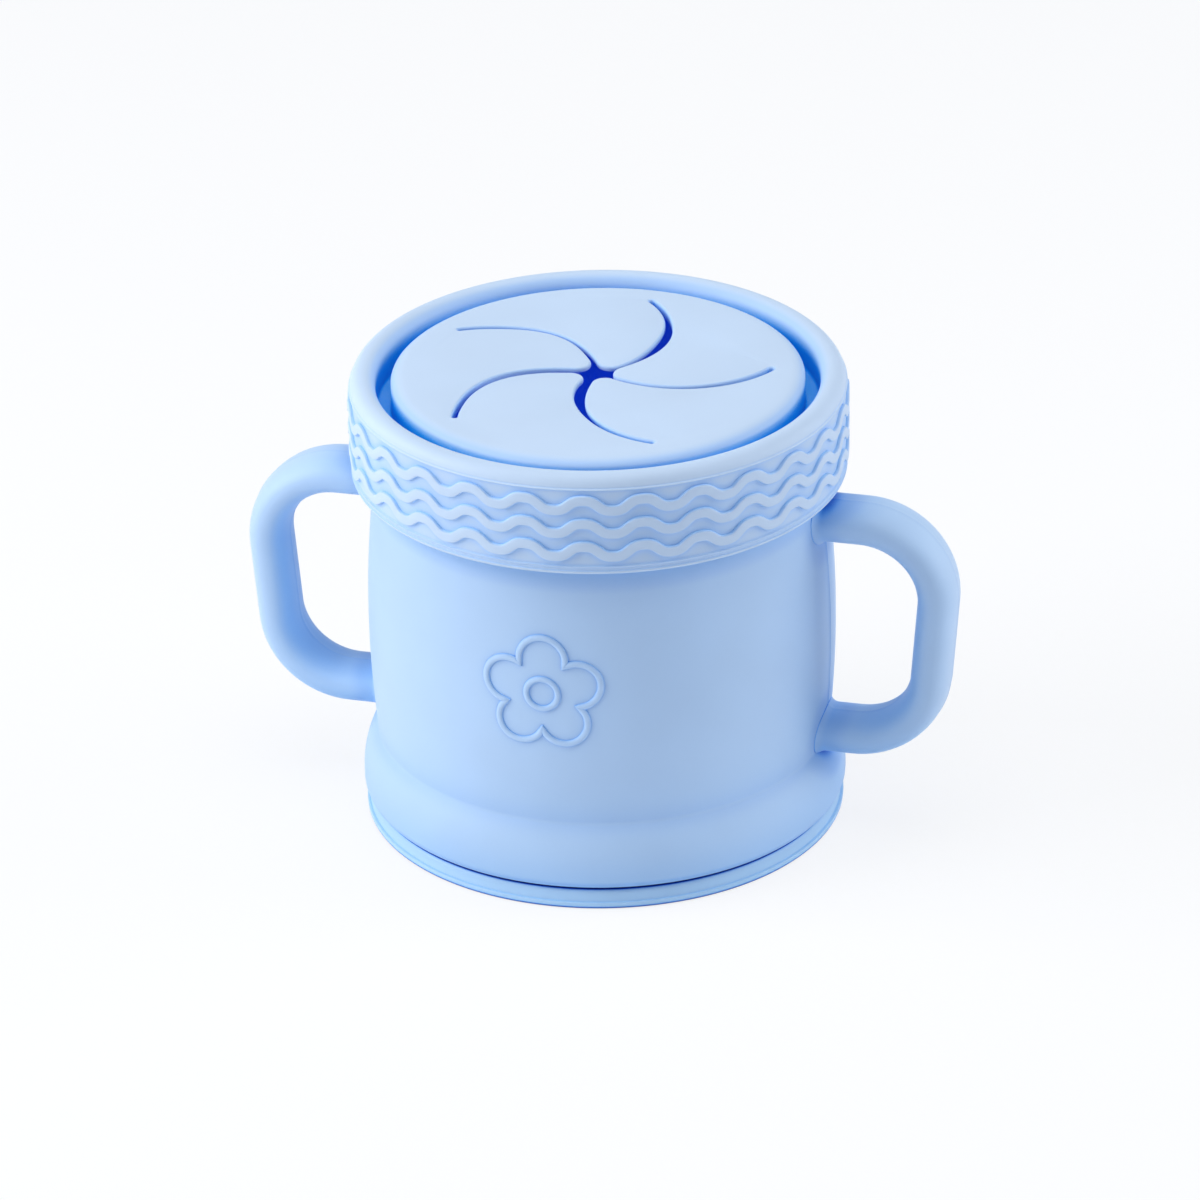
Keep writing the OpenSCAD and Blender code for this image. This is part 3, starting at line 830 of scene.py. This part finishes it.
def moulded_silicone_rubber(name, tones, nearby_shade_colour, roughness, powder):
    """Liquid silicone rubber from a polished steel mould, left matt: an even pale colour
    with a soft wide highlight. Shade is painted into the colour: the open surface keeps the pale
    colour, and recesses and narrow places are painted darker and strong blue."""
    material = bpy.data.materials.new(name)
    material.use_nodes = True
    material.node_tree.nodes.clear()
    spot = add_node(material, "ShaderNodeTexCoord").outputs["Object"]

    # Painted shade: recesses and narrow places turn darker and strong blue, by how closed in they
    # are
    depth = painted_shade_by_openness(material, RECESS_SHADE_REACH, RECESS_SHADE_RAYS, tones)
    # Painted shade near other parts of the piece and the floor: the colour is made bluer there,
    # standing in for light that comes off them or through them
    painted_nearby_shade = painted_shade_by_openness(material, NEARBY_SHADE_REACH, NEARBY_SHADE_RAYS,
                      ((NEARBY_SHADE_FULL_AT, nearby_shade_colour), (NEARBY_SHADE_NONE_AT, "#ffffff")))
    # Painted shade in slits, seams and the corners beside the ribs: they are drawn as thin blue
    # lines by how closed in each place is within a short reach
    line = painted_shade_by_openness(material, LINE_SHADE_REACH, LINE_SHADE_RAYS, LINE_SHADE_TONES)
    with_nearby_shade = add_node(material, "ShaderNodeMix", {"Factor": 1.0, 6: depth, 7: painted_nearby_shade}, **MULTIPLY)
    with_line_shade = add_node(material, "ShaderNodeMix",
                     {"Factor": 1.0, 6: with_nearby_shade.outputs[2], 7: line}, **MULTIPLY)

    # Pigment is never mixed quite evenly: clouds a few hundredths lighter or darker
    clouds = add_node(material, "ShaderNodeTexNoise",
                      {"Vector": spot, "Scale": 1 / (CLOUD_W * MM), "Detail": 2.0})
    tint = add_node(material, "ShaderNodeMapRange",
                    {"Value": clouds.outputs["Fac"], "From Min": 0.3, "From Max": 0.7,
                     "To Min": 1 - CLOUD_TINT, "To Max": 1 + CLOUD_TINT})
    # The pigment's clouds are multiplied into the colour that carries the painted shade
    pigment = add_node(material, "ShaderNodeMix",
                       {"Factor": 1.0, 6: with_line_shade.outputs[2], 7: tint.outputs["Result"]},
                       **MULTIPLY)

    # Skin left by the mould, and slow unevenness from shrinking in it
    grain = add_node(material, "ShaderNodeTexNoise",
                     {"Vector": spot, "Scale": 1 / (GRAIN_W * MM), "Detail": 3.0})
    swell = add_node(material, "ShaderNodeTexNoise",
                     {"Vector": spot, "Scale": 1 / (SWELL_W * MM), "Detail": 1.0})
    skin = add_node(material, "ShaderNodeBump",
                    {"Height": grain.outputs["Fac"], "Distance": GRAIN_H * MM, "Strength": 1.0})
    skin = add_node(material, "ShaderNodeBump",
                    {"Height": swell.outputs["Fac"], "Distance": SWELL_H * MM, "Strength": 1.0,
                     "Normal": skin.outputs["Normal"]})
    dull = add_node(material, "ShaderNodeMapRange",
                    {"Value": clouds.outputs["Fac"], "From Min": 0.3, "From Max": 0.7,
                     "To Min": roughness - CLOUD_DULL, "To Max": roughness + CLOUD_DULL})
    # The sheen is the powdery look of rubber that was left matt
    surface = add_node(material, "ShaderNodeBsdfPrincipled",
                       {"Base Color": pigment.outputs[2], "Roughness": dull.outputs["Result"],
                        "IOR": RUBBER_IOR, "Sheen Weight": powder,
                        "Normal": skin.outputs["Normal"]})
    add_node(material, "ShaderNodeOutputMaterial", {"Surface": surface.outputs["BSDF"]})
    return material


# Painted shade: each one's colour from a closed-in place (0) to the rubber's own colour, open (1)
cup_rubber = moulded_silicone_rubber(
    "cup_moulded_silicone_rubber",
    ((0, "#04305c"), (0.22, "#0358a7"), (0.34, "#0c70d8"), (0.42, "#4c9ee4"), (0.47, "#74b4f0"),
     (0.52, "#92c6f4"), (0.58, "#a0caf4"), (0.65, "#a8ccf2"), (0.75, "#a6c7ed"), (0.85, "#a5c6ec"),
     (0.93, "#aecbee"), (1, "#b8d3f0")), "#d5eeff", 0.52, 0.25)
lid_rubber = moulded_silicone_rubber(
    "lid_moulded_silicone_rubber",
    ((0, "#0444a0"), (0.1, "#0468d0"), (0.15, "#04b4ff"), (0.32, "#08baff"), (0.385, "#c8eaff"),
     (0.5, "#c8e0fb"), (0.65, "#c2daf7"), (0.75, "#bad5f5"), (0.87, "#b6d2f4"),
     (1, "#c9dbef")), "#eefaff", 0.55, 0.0)
base_rubber = moulded_silicone_rubber(
    "base_cover_moulded_silicone_rubber",
    ((0, "#04305c"), (0.22, "#0358a7"), (0.34, "#0562cc"), (0.41, "#1878e0"), (0.47, "#86c6f5"),
     (0.53, "#c2e2fa"), (0.62, "#c2e0f9"), (0.77, "#bedbf5"), (0.85, "#b4d4ef"),
     (1, "#bad6f0")), "#eefaff", 0.52, 0.1)


def finish_with(piece, material):
    piece.data.materials.clear()
    piece.data.materials.append(material)


for piece in (cup, blossom):
    finish_with(piece, cup_rubber)
    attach(piece, "cup")
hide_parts("cup_body", "left_handle", "right_handle")
for piece in (lid, ribs):
    finish_with(piece, lid_rubber)
    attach(piece, "lid")
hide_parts("lid_shell")
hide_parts("lid_wave_ribs")
finish_with(base, base_rubber)
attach(base, "base_cover")
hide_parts("base_cover")
for k, flap in enumerate(flaps):
    finish_with(flap, lid_rubber)
    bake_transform(flap)
    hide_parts(f"flap_{k + 1}")


# ---- Floor, lights and camera ----------------------------------------------------------------

FLOOR_SIZE = 6


def straight_ray(material):
    """1 for a ray from the camera, off a gloss or through glass, and 0 for the light."""
    path = add_node(material, "ShaderNodeLightPath")
    either = add_node(material, "ShaderNodeMath", {0: path.outputs["Is Camera Ray"],
                                                   1: path.outputs["Is Glossy Ray"]},
                      operation="MAXIMUM")
    return add_node(material, "ShaderNodeMath", {0: either.outputs["Value"],
                                                 1: path.outputs["Is Transmission Ray"]},
                    operation="MAXIMUM").outputs["Value"]


deselect()
bpy.ops.mesh.primitive_grid_add(x_subdivisions=8, y_subdivisions=8, size=FLOOR_SIZE,
                                location=(0, 0, 0))
floor = bpy.context.object
floor.name = floor.data.name = "floor"
# White paper on a table: plain and matt, brightest to the camera, with the object's shadow
# kept in the share that isn't plain white
PAPER_FIBRE_W, PAPER_FIBRE_H, PLAIN_WHITE = 1.5, 0.01, 0.8
paper = bpy.data.materials.new("white_paper_floor")
paper.use_nodes = True
paper.node_tree.nodes.clear()
fibres = add_node(paper, "ShaderNodeTexNoise",
                  {"Vector": add_node(paper, "ShaderNodeTexCoord").outputs["Object"],
                   "Scale": 1 / (PAPER_FIBRE_W * MM), "Detail": 2.0})
matt = add_node(paper, "ShaderNodeBsdfDiffuse",
                {"Color": colour("#fcfcfe"),
                 "Normal": add_node(paper, "ShaderNodeBump",
                                    {"Height": fibres.outputs["Fac"],
                                     "Distance": PAPER_FIBRE_H * MM}).outputs["Normal"]})
white = add_node(paper, "ShaderNodeEmission", {"Color": WHITE, "Strength": 1.0})
shown = add_node(paper, "ShaderNodeMath", {0: straight_ray(paper), 1: PLAIN_WHITE},
                 operation="MULTIPLY")
paper_mix = add_node(paper, "ShaderNodeMixShader",
                     {"Fac": shown.outputs["Value"], 1: matt.outputs["BSDF"],
                      2: white.outputs["Emission"]})
add_node(paper, "ShaderNodeOutputMaterial", {"Surface": paper_mix.outputs["Shader"]})
finish_with(floor, paper)

# The room: white where it is seen or mirrored, a plain soft light for everything else
ROOM_LEVEL, ROOM_LIGHT = 0.39, colour("#c8deff")
world = bpy.data.worlds.new("room")
bpy.context.scene.world = world
world.use_nodes = True
world.node_tree.nodes.clear()
seen = straight_ray(world)
level = add_node(world, "ShaderNodeMapRange", {"Value": seen, "To Min": ROOM_LEVEL,
                                               "To Max": 1.0})
air = add_node(world, "ShaderNodeMix", {"Factor": seen, 6: ROOM_LIGHT, 7: WHITE},
               data_type="RGBA")
room = add_node(world, "ShaderNodeBackground", {"Color": air.outputs[2],
                                                "Strength": level.outputs["Result"]})
add_node(world, "ShaderNodeOutputWorld", {"Surface": room.outputs["Background"]})

# The camera and the lamps are turned round the cup together. Places below are metres.
VIEW_TURN = 14.9
TURN = Matrix.Rotation(radians(VIEW_TURN), 4, "Z")
CUP_MIDDLE = (0, 0, 0.045)


def soft_light(name, spot, size, power, tint=(1, 1, 1)):
    """A square soft box that faces the cup, placed as seen from the camera: x right, y away."""
    lamp = bpy.data.lights.new(name, "AREA")
    lamp.size, lamp.energy, lamp.color = size, power, tint
    lamp_object = bpy.data.objects.new(name, lamp)
    bpy.context.collection.objects.link(lamp_object)
    spot = TURN @ Vector(spot)
    towards = Vector(CUP_MIDDLE) - spot
    lamp_object.matrix_world = (Matrix.Translation(spot)
                                @ towards.to_track_quat("-Z", "Y").to_matrix().to_4x4())


soft_light("key_left", (-0.9, -0.12, 0.52), 0.7, 7.4)
soft_light("fill_right", (0.85, 0.05, 0.35), 0.5, 3.1)
soft_light("top", (0.0, -0.1, 1.1), 0.8, 4.0, (1.0, 0.98, 0.9))

# Light that comes through the rubber into the closed cup: deep blue, and weak
INNER_SIZE, INNER_POWER, INNER_BLUE = 0.012, 0.0115, (0.0, 0.08, 1.0)
inner = bpy.data.lights.new("through_the_rubber", "POINT")
inner.shadow_soft_size, inner.energy, inner.color = INNER_SIZE, INNER_POWER, INNER_BLUE
inner_object = bpy.data.objects.new("through_the_rubber", inner)
inner_object.location = CUP_MIDDLE
bpy.context.collection.objects.link(inner_object)

# A long lens about 1.2 m away. Its focal length is given in pixels of a frame 1200 wide.
FOCAL_PIXELS, FRAME_PIXELS, SENSOR_W = 6406.148, 1200, 36
CAMERA_SPOT = Vector((-0.38976, -1050.4, 581.3)) * MM
LOOK_DOWN, ROLL = radians(27.2558), radians(-1.0916)
view = bpy.data.cameras.new("camera")
view.sensor_fit, view.sensor_width = "HORIZONTAL", SENSOR_W
view.lens = FOCAL_PIXELS * SENSOR_W / FRAME_PIXELS
view.clip_start, view.clip_end = 0.05, 20
camera = bpy.data.objects.new("camera", view)
bpy.context.collection.objects.link(camera)
look = Vector((0, cos(LOOK_DOWN), -sin(LOOK_DOWN)))
camera.matrix_world = (
    TURN @ Matrix.Translation(CAMERA_SPOT)
    @ look.to_track_quat("-Z", "Y").to_matrix().to_4x4()
    @ Matrix.Rotation(ROLL, 4, "Z"))
bpy.context.scene.camera = camera
bpy.context.scene.view_settings.view_transform = "Standard"
